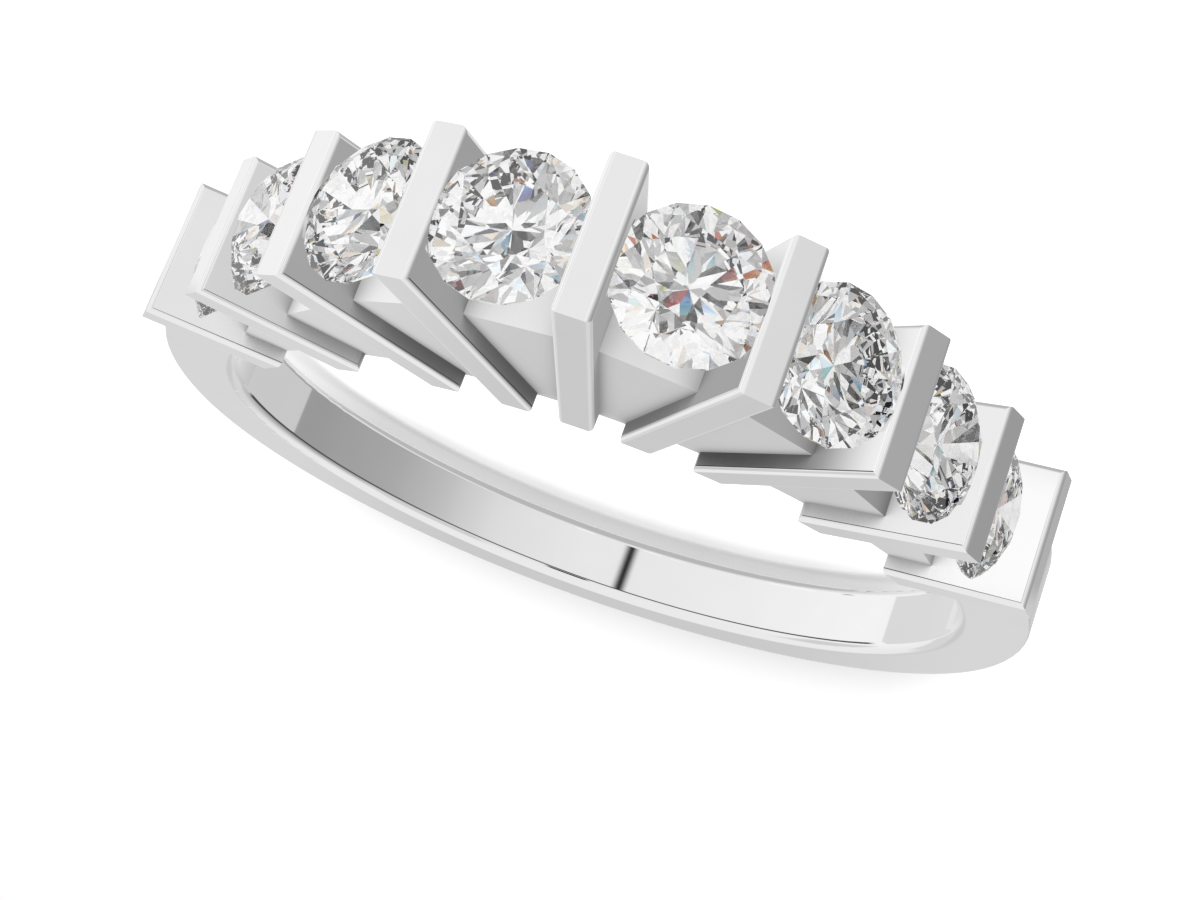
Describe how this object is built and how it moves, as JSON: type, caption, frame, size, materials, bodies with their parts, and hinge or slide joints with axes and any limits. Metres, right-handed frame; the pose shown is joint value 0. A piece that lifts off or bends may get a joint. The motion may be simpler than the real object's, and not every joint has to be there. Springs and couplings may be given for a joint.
{
  "type": "bar set band ring",
  "caption": "Finger ring whose upright bars hold a row of round brilliant stones, on a plain polished shank.",
  "frame": {"origin": "centre of the finger hole, in the ring's middle plane", "axes": "+Z along the finger's axis, -Y towards the middle bar; the ring lies on its side"},
  "size_m": [0.0204, 0.0251, 0.003],
  "materials": {
    "white_metal": "high polish white gold",
    "diamond": "clear polished facets"
  },
  "bodies": {
    "root": {"band_with_bars": "white_metal", "stone_1": "diamond", "stone_2": "diamond", "stone_3": "diamond", "stone_4": "diamond", "stone_5": "diamond", "stone_6": "diamond", "stone_7": "diamond", "stone_8": "diamond"}
  },
  "joints": []
}
